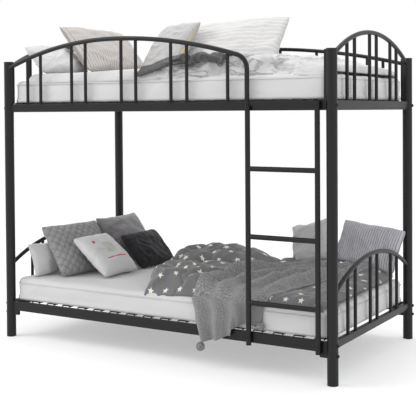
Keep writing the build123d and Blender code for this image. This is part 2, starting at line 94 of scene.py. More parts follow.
# Cushions: name, node, (turn, lean, spin) in degrees, (width, height, thickness) in millimetres,
# finish, slot, seed, and what differs from a plain cushion
UPPER_CUSHIONS = (
    ("small_white_pillow", "pillow_small_upper", (90, 45, 0), (390, 200, 110),
     "white_cloth", "white_cloth", 1.0, {}),
    ("beige_pillow", "pillow_beige_upper", (90, 39, 0), (600, 325, 125),
     "beige_cloth", "beige_cloth", 2.0, {}),
    ("yellow_piped_cushion", "cushion_piped_upper", (-25, 34, 0), (375, 340, 115),
     "flecked_cloth", "linen_cloth", 3.0, {"trim": "yellow_piping", "piping": 0.0050}),
    ("linen_pillow", "pillow_linen_upper", (1, 40, -3), (600, 370, 125),
     "linen_cloth", "linen_cloth", 4.0, {}),
)
LOWER_CUSHIONS = (
    ("white_pillow", "pillow_white_lower", (90, 18, 0), (550, 185, 85),
     "white_cloth", "white_cloth", 5.0, {}),
    ("quilted_cushion", "cushion_quilted_lower", (80, 36, 0), (410, 320, 105),
     "grey_quilted_cloth", "grey_quilted_cloth", 6.0, {}),
    ("velvet_cushion", "cushion_velvet_lower", (90, 33, 0), (395, 320, 105),
     "grey_velvet", "grey_velvet", 7.0, {}),
    ("charcoal_cushion", "cushion_charcoal_lower", (90, 40, 0), (350, 235, 100),
     "charcoal_cloth", "charcoal_cloth", 8.0, {}),
    ("printed_cushion", "cushion_print_lower", (90, 50, 0), (300, 300, 95),
     "print_cloth", "white_cloth", 9.0, {"trim": "white_cloth"}),
    ("plush_cushion", "cushion_plush_lower", (-12, 20, -16), (290, 255, 130),
     "plush_cloth", "linen_cloth", 10.0, {"pull": 0.13}),
    ("lined_pillow", "pillow_lined_lower", (0, 25, 8), (360, 240, 105),
     "lined_cloth", "lined_cloth", 11.0, {}),
)

# Studio: lights as name, place, size and power; where they aim; the camera's place and shift
LIGHTS = (
    ("softbox_left", (-3.8, -3.0, 4.2), 2.6, 110),
    ("softbox_right", (5.2, -1.5, 3.2), 2.0, 25),
    ("softbox_top", (0.0, 0.8, 4.8), 2.4, 60),
)
LIGHT_AIM = Vector((0, 0, 0.8))
FLOOR_GLOW = 0.34
CAMERA_X = 2.650
CAMERA_Y = -4.374 + BED_MIDDLE_Y
CAMERA_SHIFT = (-0.0117, -0.1858)


# ---------------------------------------------------------------- node groups
def group_tree(name, inputs, outputs):
    """A new shader node group with its sockets, and its input and output nodes."""
    tree = bpy.data.node_groups.new(name, "ShaderNodeTree")
    for socket, kind, value in inputs:
        made = tree.interface.new_socket(name=socket, in_out="INPUT", socket_type=kind)
        if value is not None:
            made.default_value = value
    for socket, kind in outputs:
        tree.interface.new_socket(name=socket, in_out="OUTPUT", socket_type=kind)
    return tree, tree.nodes.new("NodeGroupInput"), tree.nodes.new("NodeGroupOutput")


def math_node(tree, operation, a, b=None, c=None, clamp=False):
    """A Math node on sockets or numbers; gives its output."""
    node = tree.nodes.new("ShaderNodeMath")
    node.operation = operation
    node.use_clamp = clamp
    for index, value in enumerate((a, b, c)):
        if value is None:
            continue
        if hasattr(value, "is_output"):
            tree.links.new(value, node.inputs[index])
        else:
            node.inputs[index].default_value = value
    return node.outputs[0]


def split_xyz(tree, vector):
    """The x, y and z of a vector."""
    node = tree.nodes.new("ShaderNodeSeparateXYZ")
    tree.links.new(vector, node.inputs[0])
    return node.outputs


def noise_value(tree, vector, scale, detail=3.0, roughness=0.55):
    """A noise value; its scale is a number or a socket."""
    node = tree.nodes.new("ShaderNodeTexNoise")
    tree.links.new(vector, node.inputs["Vector"])
    node.inputs["Detail"].default_value = detail
    node.inputs["Roughness"].default_value = roughness
    if hasattr(scale, "is_output"):
        tree.links.new(scale, node.inputs["Scale"])
    else:
        node.inputs["Scale"].default_value = scale
    return node.outputs["Fac"]


def mix_colour(tree, factor, a, b, blend="MIX"):
    """Mixes two colours, each a socket or a plain colour."""
    node = tree.nodes.new("ShaderNodeMix")
    node.data_type = "RGBA"
    node.blend_type = blend
    for socket, value in ((node.inputs[0], factor), (node.inputs[6], a), (node.inputs[7], b)):
        if hasattr(value, "is_output"):
            tree.links.new(value, socket)
        elif isinstance(value, (int, float)):
            socket.default_value = value
        else:
            socket.default_value = (*value[:3], 1.0)
    return node.outputs[2]


def make_weave_group():
    """Plain weave: crossing threads as a height, and flecks where the yarn is uneven."""
    tree, given, result = group_tree(
        "Plain weave",
        [("Vector", "NodeSocketVector", None), ("Threads", "NodeSocketFloat", 400.0)],
        [("Height", "NodeSocketFloat"), ("Fleck", "NodeSocketFloat")],
    )
    x, y, _ = split_xyz(tree, given.outputs["Vector"])
    warp = math_node(tree, "SINE", math_node(tree, "MULTIPLY", x, math_node(
        tree, "MULTIPLY", given.outputs["Threads"], math.tau)))
    weft = math_node(tree, "SINE", math_node(tree, "MULTIPLY", y, math_node(
        tree, "MULTIPLY", given.outputs["Threads"], math.tau)))
    crossing = math_node(tree, "MULTIPLY", warp, weft)
    tree.links.new(math_node(tree, "MULTIPLY_ADD", crossing, 0.5, 0.5), result.inputs["Height"])
    yarn = noise_value(tree, given.outputs["Vector"], math_node(
        tree, "MULTIPLY", given.outputs["Threads"], 0.6), 2.0)
    tree.links.new(yarn, result.inputs["Fleck"])
    return tree


def make_knit_group():
    """Chunky knit: rows of V-shaped stitches as a height, and how the yarn is heathered."""
    tree, given, result = group_tree(
        "Chunky knit",
        [("Vector", "NodeSocketVector", None), ("Stitches", "NodeSocketFloat", 140.0)],
        [("Height", "NodeSocketFloat"), ("Heather", "NodeSocketFloat")],
    )
    x, y, _ = split_xyz(tree, given.outputs["Vector"])
    column = math_node(tree, "MULTIPLY", x, given.outputs["Stitches"])
    lean = math_node(tree, "PINGPONG", column, 0.5)
    row = math_node(tree, "MULTIPLY", y, given.outputs["Stitches"])
    slanted = math_node(tree, "ADD", row, lean)
    stitch = math_node(tree, "SINE", math_node(tree, "MULTIPLY", slanted, math.tau))
    wale = math_node(tree, "ABSOLUTE", math_node(tree, "SINE", math_node(
        tree, "MULTIPLY", column, math.tau)))
    height = math_node(tree, "ADD", math_node(tree, "MULTIPLY", stitch, 0.35), math_node(
        tree, "MULTIPLY", wale, 0.65))
    tree.links.new(height, result.inputs["Height"])
    heather = noise_value(tree, given.outputs["Vector"], math_node(
        tree, "MULTIPLY", given.outputs["Stitches"], 1.3), 4.0, 0.7)
    tree.links.new(heather, result.inputs["Heather"])
    return tree


def make_star_group():
    """Five-pointed stars in staggered rows; Mask is 1 inside a star."""
    tree, given, result = group_tree(
        "Star print",
        [("Vector", "NodeSocketVector", None), ("Spacing", "NodeSocketFloat", 0.11),
         ("Radius", "NodeSocketFloat", 0.2)],
        [("Mask", "NodeSocketFloat")],
    )
    x, y, _ = split_xyz(tree, given.outputs["Vector"])
    row = math_node(tree, "DIVIDE", y, given.outputs["Spacing"])
    row_number = math_node(tree, "FLOOR", row)
    stagger = math_node(tree, "MULTIPLY", math_node(tree, "MODULO", row_number, 2.0), 0.5)
    column = math_node(tree, "ADD", math_node(tree, "DIVIDE", x, given.outputs["Spacing"]), stagger)
    cell_x = math_node(tree, "SUBTRACT", math_node(tree, "FRACT", column), 0.5)
    cell_y = math_node(tree, "SUBTRACT", math_node(tree, "FRACT", row), 0.5)
    angle = math_node(tree, "ARCTAN2", cell_x, cell_y)
    turned = math_node(tree, "ADD", angle, math_node(tree, "MULTIPLY", row_number, 0.7))
    sector = math.tau / 5
    folded = math_node(tree, "ABSOLUTE", math_node(tree, "SUBTRACT", math_node(
        tree, "FLOORED_MODULO", turned, sector), sector / 2))
    radius = math_node(tree, "SQRT", math_node(tree, "ADD", math_node(
        tree, "MULTIPLY", cell_x, cell_x), math_node(tree, "MULTIPLY", cell_y, cell_y)))
    from_tip = math_node(tree, "SUBTRACT", math.pi / 5, folded)
    along = math_node(tree, "MULTIPLY", radius, math_node(tree, "COSINE", from_tip))
    aside = math_node(tree, "MULTIPLY", radius, math_node(tree, "SINE", from_tip))
    inner_x = 0.42 * math.cos(math.pi / 5)
    inner_y = 0.42 * math.sin(math.pi / 5)
    reach = math_node(tree, "ADD", math_node(tree, "MULTIPLY", along, inner_y), math_node(
        tree, "MULTIPLY", aside, 1.0 - inner_x))
    limit = math_node(tree, "MULTIPLY", given.outputs["Radius"], inner_y)
    inside = math_node(tree, "LESS_THAN", reach, limit)
    tree.links.new(inside, result.inputs["Mask"])
    return tree


def make_coat_group():
    """Powder coat: fine orange peel as a height, and faint cloudiness."""
    tree, given, result = group_tree(
        "Powder coat",
        [("Vector", "NodeSocketVector", None)],
        [("Height", "NodeSocketFloat"), ("Cloud", "NodeSocketFloat")],
    )
    peel = noise_value(tree, given.outputs["Vector"], 900.0, 2.0)
    tree.links.new(peel, result.inputs["Height"])
    tree.links.new(noise_value(tree, given.outputs["Vector"], 14.0, 4.0, 0.6), result.inputs["Cloud"])
    return tree


GROUPS = {}


def group_node(tree, name, vector, **values):
    """Places one of the shared node groups in a material, with its own values."""
    node = tree.nodes.new("ShaderNodeGroup")
    node.node_tree = GROUPS[name]
    tree.links.new(vector, node.inputs["Vector"])
    for socket, value in values.items():
        node.inputs[socket].default_value = value
    return node


# ------------------------------------------------------------------ materials
def new_material(name, roughness, sheen=0.0, metallic=0.0, specular=0.5):
    """A new material with its node tree and its shader."""
    material = bpy.data.materials.new(name)
    material.use_nodes = True
    tree = material.node_tree
    shader = tree.nodes["Principled BSDF"]
    shader.inputs["Roughness"].default_value = roughness
    shader.inputs["Metallic"].default_value = metallic
    shader.inputs["Specular IOR Level"].default_value = specular
    shader.inputs["Sheen Weight"].default_value = sheen
    shader.inputs["Sheen Roughness"].default_value = 0.5
    return material, tree, shader


def coordinates(tree, kind):
    return tree.nodes.new("ShaderNodeTexCoord").outputs[kind]


def add_bump(tree, shader, height, distance, strength=1.0):
    """Bumps a shader by a height."""
    bump = tree.nodes.new("ShaderNodeBump")
    bump.inputs["Distance"].default_value = distance
    bump.inputs["Strength"].default_value = strength
    tree.links.new(height, bump.inputs["Height"])
    tree.links.new(bump.outputs["Normal"], shader.inputs["Normal"])


def coated_metal(name, colour, roughness, metallic=0.0):
    """Powder-coated steel, plastic or bolts."""
    material, tree, shader = new_material(name, roughness, metallic=metallic, specular=0.32)
    place = coordinates(tree, "Object")
    coat = group_node(tree, "Powder coat", place)
    lighter = tuple(c * 1.5 for c in colour)
    tint = mix_colour(tree, coat.outputs["Cloud"], colour, lighter)
    tree.links.new(tint, shader.inputs["Base Color"])
    rough = math_node(tree, "MULTIPLY_ADD", coat.outputs["Cloud"], 0.14, roughness - 0.07)
    tree.links.new(rough, shader.inputs["Roughness"])
    add_bump(tree, shader, coat.outputs["Height"], 0.00006, 0.6)
    return material


def woven_cloth(name, colour, threads=420.0, shade=0.86, sheen=0.25, pattern=None, crease=0.0012):
    """Woven cloth; pattern(tree, uv, colour) may return a patterned colour and extra height."""
    material, tree, shader = new_material(name, 0.9, sheen=sheen, specular=0.25)
    uv = coordinates(tree, "UV")
    weave = group_node(tree, "Plain weave", uv, Threads=threads)
    base, extra = pattern(tree, uv, colour) if pattern else (colour, None)
    fleck = math_node(tree, "MULTIPLY", weave.outputs["Fleck"], 0.55)
    if pattern:
        tint = mix_colour(tree, fleck, base, (shade, shade, shade), "MULTIPLY")
    else:
        tint = mix_colour(tree, fleck, base, tuple(c * shade for c in colour))
    tree.links.new(tint, shader.inputs["Base Color"])
    wrinkle = noise_value(tree, uv, 22.0, 4.0, 0.55)
    height = math_node(tree, "MULTIPLY_ADD", weave.outputs["Height"], 0.12, wrinkle)
    if extra is not None:
        height = math_node(tree, "ADD", height, extra)
    add_bump(tree, shader, height, crease, 0.9)
    return material


def knitted_cloth(name, dark, light, stitches=130.0):
    """Chunky knit in heathered yarn, from a dark to a light colour, with painted shade in the valleys
    between its stitches.
    """
    material, tree, shader = new_material(name, 0.95, sheen=0.4, specular=0.2)
    uv = coordinates(tree, "UV")
    knit = group_node(tree, "Chunky knit", uv, Stitches=stitches)
    contrast = math_node(tree, "MULTIPLY_ADD", knit.outputs["Heather"], 2.6, -0.8, clamp=True)
    heather = mix_colour(tree, contrast, dark, light)
    # Painted shade: the heathered colour is darkened where the knit's height is low, in the valleys
    # between stitches.
    valley_shade = math_node(tree, "MULTIPLY_ADD", knit.outputs["Height"], 0.5, 0.62, clamp=True)
    tint = mix_colour(tree, 1.0, heather, valley_shade, "MULTIPLY")
    tree.links.new(tint, shader.inputs["Base Color"])
    add_bump(tree, shader, knit.outputs["Height"], 0.0022, 1.0)
    return material


def star_pattern(tree, uv, colour):
    """Pale stars on the ground colour."""
    stars = group_node(tree, "Star print", uv, Spacing=0.098, Radius=0.21)
    return mix_colour(tree, stars.outputs["Mask"], colour, (0.82, 0.80, 0.70)), None


def stripe_pattern(pitch, width, stripe, across=0):
    """Stripes a pitch apart; width is their share of the pitch."""
    def pattern(tree, uv, colour):
        axis = split_xyz(tree, uv)[across]
        wobble = math_node(tree, "MULTIPLY", noise_value(tree, uv, 7.0, 2.0), 0.012)
        band = math_node(tree, "DIVIDE", math_node(tree, "ADD", axis, wobble), pitch)
        line = math_node(tree, "LESS_THAN", math_node(tree, "FRACT", band), width)
        return mix_colour(tree, math_node(tree, "MULTIPLY", line, 0.8), colour, stripe), None
    return pattern


def quilt_pattern(tree, uv, colour):
    """Small diamond quilting, with painted shade that darkens it towards the stitched valleys."""
    x, y, _ = split_xyz(tree, uv)
    cell = 0.024
    up = math_node(tree, "PINGPONG", math_node(tree, "ADD", x, y), cell)
    down = math_node(tree, "PINGPONG", math_node(tree, "SUBTRACT", x, y), cell)
    puff = math_node(tree, "MULTIPLY", math_node(tree, "SQRT", math_node(
        tree, "MULTIPLY", up, down)), 3.0 / cell)
    # Painted shade: the cloth darkens to 0.6 of its colour towards the stitched valleys between the puffs.
    valley_shade = math_node(tree, "MULTIPLY", puff, 0.9, clamp=True)
    return mix_colour(tree, valley_shade, tuple(c * 0.6 for c in colour), colour), puff


def crinkle_pattern(tree, uv, colour):
    """Pale linen with wide crinkled bands, with painted shade in the troughs of the bands."""
    x, y, _ = split_xyz(tree, uv)
    wander = math_node(tree, "MULTIPLY", noise_value(tree, uv, 9.0, 3.0), 0.05)
    bands = math_node(tree, "SINE", math_node(tree, "MULTIPLY", math_node(
        tree, "ADD", y, wander), math.tau / 0.030))
    # Painted shade: the colour falls to 0.92 of itself in the troughs of the bands, where their height is
    # low.
    ribs_and_shade = math_node(tree, "MULTIPLY_ADD", bands, 0.5, 0.5)
    return mix_colour(tree, ribs_and_shade, tuple(c * 0.92 for c in colour), colour), math_node(
        tree, "MULTIPLY", ribs_and_shade, 0.8)


def crumple_shade_pattern(tree, uv, colour):
    """Sharp creases with painted shade along them, where the white duvet is thrown together, fading out
    towards its ends.
    """
    stretched = tree.nodes.new("ShaderNodeMapping")
    stretched.inputs["Scale"].default_value = (1.0, 2.6, 1.0)
    stretched.inputs["Rotation"].default_value = (0.0, 0.0, 0.25)
    tree.links.new(uv, stretched.inputs["Vector"])
    value = noise_value(tree, stretched.outputs["Vector"], 5.5, 4.0, 0.5)
    line = math_node(tree, "ABSOLUTE", math_node(tree, "SUBTRACT", value, 0.5))
    crease = math_node(tree, "SUBTRACT", 1.0, math_node(tree, "MULTIPLY", line, 26.0), clamp=True)
    along = split_xyz(tree, uv)[0]
    fade_in = math_node(tree, "MULTIPLY_ADD", along, 6.0, 0.6, clamp=True)
    fade_out = math_node(tree, "MULTIPLY_ADD", along, -4.0, 3.4, clamp=True)
    shown = math_node(tree, "MULTIPLY", crease, math_node(tree, "MULTIPLY", fade_in, fade_out))
    # Painted shade: the crease lines are darkened towards 0.42 of the cloth's colour.
    dark = tuple(c * 0.42 for c in colour)
    return mix_colour(tree, math_node(tree, "MULTIPLY", shown, 0.38), colour, dark), math_node(
        tree, "MULTIPLY", shown, -2.5)


def plain_print_pattern(tree, uv, colour):
    """A plain print: a small square, a patch of short lines and one long bar."""
    x, y, _ = split_xyz(tree, uv)

    def bar(x0, x1, y0, y1):
        inside = math_node(tree, "MULTIPLY", math_node(tree, "GREATER_THAN", x, x0),
                           math_node(tree, "LESS_THAN", x, x1))
        tall = math_node(tree, "MULTIPLY", math_node(tree, "GREATER_THAN", y, y0),
                         math_node(tree, "LESS_THAN", y, y1))
        return math_node(tree, "MULTIPLY", inside, tall)

    red = bar(-0.075, 0.085, -0.062, -0.054)
    stripes = math_node(tree, "LESS_THAN", math_node(tree, "FRACT", math_node(
        tree, "MULTIPLY", x, 90.0)), 0.35)
    green = math_node(tree, "MULTIPLY", bar(-0.03, 0.05, -0.02, 0.05), stripes)
    mark = bar(-0.085, -0.065, 0.06, 0.08)
    printed = mix_colour(tree, green, colour, (0.30, 0.36, 0.14))
    printed = mix_colour(tree, math_node(tree, "MAXIMUM", red, mark), printed, (0.50, 0.03, 0.03))
    return printed, None


def velvet_cloth(name, colour, sheen=0.5):
    """Cloth with a brushed pile, lighter in patches."""
    material, tree, shader = new_material(name, 0.85, sheen=sheen, specular=0.15)
    uv = coordinates(tree, "UV")
    pile = noise_value(tree, uv, 16.0, 4.0, 0.6)
    light = tuple(min(1.0, c * 2.1) for c in colour)
    contrast = math_node(tree, "MULTIPLY_ADD", pile, 2.2, -0.6, clamp=True)
    tree.links.new(mix_colour(tree, contrast, colour, light), shader.inputs["Base Color"])
    add_bump(tree, shader, noise_value(tree, uv, 500.0, 2.0), 0.0004, 0.6)
    return material


MATERIALS = {}


def make_materials(look):
    """Builds the node groups, then every finish of the bed."""
    GROUPS["Plain weave"] = make_weave_group()
    GROUPS["Chunky knit"] = make_knit_group()
    GROUPS["Star print"] = make_star_group()
    GROUPS["Powder coat"] = make_coat_group()
    m = MATERIALS
    m["frame_paint"] = coated_metal("Charcoal powder coat", look.frame_colour, look.frame_roughness)
    m["black_plastic"] = coated_metal("Moulded black plastic", (0.010, 0.010, 0.011), 0.55)
    m["black_bolts"] = coated_metal("Black oxide bolts", (0.02, 0.02, 0.022), 0.35, 0.7)
    white = look.white_cloth
    m["mattress_cloth"] = woven_cloth("White mattress sheet", white, 300.0, 0.93, crease=0.0020)
    m["mattress_piping"] = woven_cloth("Mattress piping", tuple(c * 0.93 for c in white), 500.0)
    m["white_cloth"] = woven_cloth("White cotton", white, 380.0, 0.92, crease=0.0026)
    m["duvet_cloth"] = woven_cloth(
        "White duvet cotton", white, 380.0, 0.92, pattern=crumple_shade_pattern, crease=0.0030)
    m["grey_star_cloth"] = woven_cloth(
        "Grey star cotton", look.star_cloth, 380.0, 0.82, pattern=star_pattern, crease=0.0018)
    m["grey_knit"] = knitted_cloth("Grey knit", (0.10, 0.10, 0.102), (0.50, 0.50, 0.505), 105.0)
    m["dark_knit"] = knitted_cloth("Dark knit", (0.022, 0.022, 0.024), (0.16, 0.16, 0.16), 120.0)
    m["beige_cloth"] = woven_cloth(
        "Beige striped cotton", (0.50, 0.47, 0.45), 350.0, 0.88,
        pattern=stripe_pattern(0.021, 0.34, (0.29, 0.27, 0.255)))
    m["linen_cloth"] = woven_cloth(
        "Crinkled linen", (0.58, 0.575, 0.57), 330.0, 0.9, pattern=crinkle_pattern, crease=0.0022)
    m["flecked_cloth"] = woven_cloth(
        "Flecked grey cotton", (0.47, 0.465, 0.46), 120.0, 0.45,
        pattern=stripe_pattern(0.009, 0.3, (0.50, 0.50, 0.51), 1))
    m["yellow_piping"] = woven_cloth("Yellow piping", (0.66, 0.47, 0.13), 500.0, 0.8)
    m["grey_quilted_cloth"] = woven_cloth(
        "Quilted grey cotton", (0.31, 0.31, 0.315), 350.0, 0.85, pattern=quilt_pattern, crease=0.0026)
    m["grey_velvet"] = velvet_cloth("Grey velvet", (0.115, 0.11, 0.115))
    m["charcoal_cloth"] = velvet_cloth("Charcoal velour", (0.013, 0.013, 0.015), 0.18)
    m["print_cloth"] = woven_cloth("Printed white cotton", white, 380.0, 0.92, pattern=plain_print_pattern)
    m["plush_cloth"] = woven_cloth("Pale plush", (0.52, 0.52, 0.53), 260.0, 0.85, sheen=0.6)
    m["lined_cloth"] = woven_cloth(
        "Lined grey cotton", (0.46, 0.46, 0.49), 350.0, 0.86,
        pattern=stripe_pattern(0.013, 0.2, (0.09, 0.09, 0.10)))


# --------------------------------------------------------------- mesh helpers
def finish_piece(name, bm, materials, smooth=True):
    """Turns a bmesh into a piece of the scene, with its materials."""
    mesh = bpy.data.meshes.new(name)
    bmesh.ops.recalc_face_normals(bm, faces=bm.faces)
    bm.to_mesh(mesh)
    bm.free()
    for material in materials:
        mesh.materials.append(material)
    if smooth:
        mesh.polygons.foreach_set("use_smooth", [True] * len(mesh.polygons))
    piece = bpy.data.objects.new(name, mesh)
    bpy.context.scene.collection.objects.link(piece)
    return piece


def add_subdivision(piece, levels=1):
    """Smooths a piece with a subdivision surface."""
    subdivision = piece.modifiers.new("Smooth", "SUBSURF")
    subdivision.levels = levels
    subdivision.render_levels = levels


def tube_mesh(points, radius, sides=3):
    """Closed tube round a loop of points, as a mesh."""
    curve = bpy.data.curves.new("piping", "CURVE")
    curve.dimensions = "3D"
    curve.bevel_depth = radius
    curve.bevel_resolution = sides
    spline = curve.splines.new("POLY")
    spline.points.add(len(points) - 1)
    for point, place in zip(spline.points, points):
        point.co = (*place, 1.0)
    spline.use_cyclic_u = True
    holder = bpy.data.objects.new("piping", curve)
    mesh = bpy.data.meshes.new_from_object(holder)
    bpy.data.objects.remove(holder)
    bpy.data.curves.remove(curve)
    return mesh


def join_tube(bm, points, radius, slot_number):
    """Adds a piping tube to bm, in the material slot of that number."""
    before = len(bm.faces)
    mesh = tube_mesh(points, radius)
    bm.from_mesh(mesh)
    bpy.data.meshes.remove(mesh)
    bm.faces.ensure_lookup_table()
    for face in bm.faces[before:]:
        face.material_index = slot_number


def ripple(x, y, seed, turn=0.0, stretch=3.0, size=6.0):
    """Sharp-crested folds running one way: about 0 in the valleys, 1 on the crests."""
    c, s = math.cos(turn), math.sin(turn)
    along, across = x * c + y * s, -x * s + y * c
    bend = 0.35 * noise.noise(Vector((along * 1.7, across * 1.7, seed + 5.0)))
    value = noise.noise(Vector((along * size / stretch, (across + bend * 0.25) * size, seed)))
    return (1.0 - min(1.0, abs(value) * 2.2)) ** 1.6


def billow(x, y, seed, turn=0.0, stretch=2.0, size=6.0):
    """Round puffs with creases between them: 0 in a crease, about 1 on top of a puff."""
    c, s = math.cos(turn), math.sin(turn)
    along, across = x * c + y * s, -x * s + y * c
    bend = 0.5 * noise.noise(Vector((along * 2.2, across * 2.2, seed + 7.0)))
    value = noise.noise(Vector((along * size / stretch + bend, across * size - bend, seed)))
    return min(1.0, abs(value) * 2.4) ** 0.55


def smooth_step(value, low, high):
    """0 below low, 1 above high, and a smooth rise between them."""
    t = min(1.0, max(0.0, (value - low) / (high - low)))
    return t * t * (3 - 2 * t)


def puff_up(piece):
    """Inflates a closed cloth shape a little, so that its seams pucker and its panels crown."""
    mesh = piece.data
    start = [v.co.copy() for v in mesh.vertices]
    cloth = piece.modifiers.new("Cloth", "CLOTH")
    settings = cloth.settings
    settings.use_pressure = True
    settings.uniform_pressure_force = PUFF_PRESSURE
    settings.effector_weights.gravity = 0.0
    settings.quality = 4
    settings.mass = 0.25
    settings.tension_stiffness = PUFF_STIFFNESS
    settings.compression_stiffness = PUFF_STIFFNESS
    settings.bending_stiffness = 0.3
    settings.shrink_min = -0.03
    cloth.collision_settings.use_collision = False
    scene = bpy.context.scene
    cloth.point_cache.frame_start = 1
    cloth.point_cache.frame_end = PUFF_FRAMES
    for number in range(1, PUFF_FRAMES + 1):
        scene.frame_set(number)
    shaped = piece.evaluated_get(bpy.context.evaluated_depsgraph_get())
    moved = [v.co.copy() for v in shaped.data.vertices]
    piece.modifiers.remove(cloth)
    scene.frame_set(1)
    for vertex, old, new in zip(mesh.vertices, start, moved):
        step = new - old
        if step.length > PUFF_LIMIT:
            step *= PUFF_LIMIT / step.length
        vertex.co = old + step
    mesh.update()


# ------------------------------------------------------------------- cushions
def panel_point(u, w, width, height, thick, pull, seed):
    """A point of a cushion's front panel; u and w run from -1 to 1 over it.

    The sides are drawn in by pull, and the crown swells the panel. Dent, pucker and slack crease it.
    """
    corner = 1 - 0.040 * abs(u * w) ** 7
    x = width / 2 * u * (1 - pull * (1 - w * w) * abs(u)) * corner
    z = height / 2 * w * (1 - pull * (1 - u * u) * abs(w)) * corner
    crown = max(0.0, (1 - abs(u) ** 2.6) * (1 - abs(w) ** 2.6))
    dent = 0.16 * noise.noise(Vector((u * 1.3, w * 1.3, seed)))
    edge = 1 - crown ** 0.5
    pucker = 0.13 * noise.noise(Vector((u * 5.0, w * 5.0, seed + 3.0))) * (0.35 + edge)
    slack = ripple(u, w, seed + 1.0, seed, 2.4, 2.6) - 0.35
    y = -thick / 2 * crown ** 0.50 * (1 + dent + pucker) - 0.005 * slack * crown ** 0.4
    x += 0.006 * noise.noise(Vector((w * 2.6, seed, 4.0))) * abs(u) ** 3
    z += 0.006 * noise.noise(Vector((u * 2.6, seed, 9.0))) * abs(w) ** 3
    return Vector((x, y, z))


def cushion(name, node, body, angles, size, cloth, slot_name, seed, trim=None, fill=0.6,
            segments=44, pull=0.055, piping=0.0):
    """A closed cushion of two panels, leaning at its node's place, with piping if it has any."""
    turn, lean, spin = angles
    width, height, thick = (s * MM for s in size)
    bm = bmesh.new()
    bmesh.ops.create_grid(bm, x_segments=segments, y_segments=segments, size=1.0)
    layer = bm.loops.layers.uv.new("cloth")
    for face in bm.faces:
        for loop in face.loops:
            loop[layer].uv = (loop.vert.co.x * width / 2, loop.vert.co.y * height / 2)
    for vertex in bm.verts:
        vertex.co = panel_point(vertex.co.x, vertex.co.y, width, height, thick, pull, seed)
    copied = bmesh.ops.duplicate(bm, geom=bm.verts[:] + bm.edges[:] + bm.faces[:])["geom"]
    back = [g for g in copied if isinstance(g, bmesh.types.BMVert)]
    for vertex in back:
        vertex.co.y *= -0.92
    back_faces = [g for g in copied if isinstance(g, bmesh.types.BMFace)]
    bmesh.ops.reverse_faces(bm, faces=back_faces)
    bmesh.ops.remove_doubles(bm, verts=bm.verts, dist=0.0002)
    piece = finish_piece(name, bm, [MATERIALS[cloth], MATERIALS[trim or cloth]])
    puff_up(piece)

    low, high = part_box(node)
    place = (
        Matrix.Translation((low + high) / 2)
        @ Matrix.Rotation(math.radians(turn), 4, "Z")
        @ Matrix.Rotation(math.radians(-lean), 4, "X")
        @ Matrix.Rotation(math.radians(spin), 4, "Y")
    )
    bm = bmesh.new()
    bm.from_mesh(piece.data)
    if piping:
        rim = []
        for index in range(4 * segments):
            side, part = divmod(index, segments)
            t = -1 + 2 * part / segments
            u, w = ((t, -1), (1, t), (-t, 1), (-1, -t))[side]
            rim.append(panel_point(u, w, width, height, thick, pull, seed))
        join_tube(bm, rim, piping, 1)
        for face in bm.faces:
            if face.material_index and face.calc_center_median().x < width / 2 * 0.85:
                face.material_index = 0
    bm.transform(place)
    bm.to_mesh(piece.data)
    bm.free()
    piece.data.polygons.foreach_set("use_smooth", [True] * len(piece.data.polygons))
    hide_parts(node)
    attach(piece, body)


def make_cushions(body, rows):
    """Makes all the cushions of one bed."""
    for name, node, angles, size, cloth, slot_name, seed, extras in rows:
        cushion(name, node, body, angles, size, cloth, slot_name, seed, **extras)


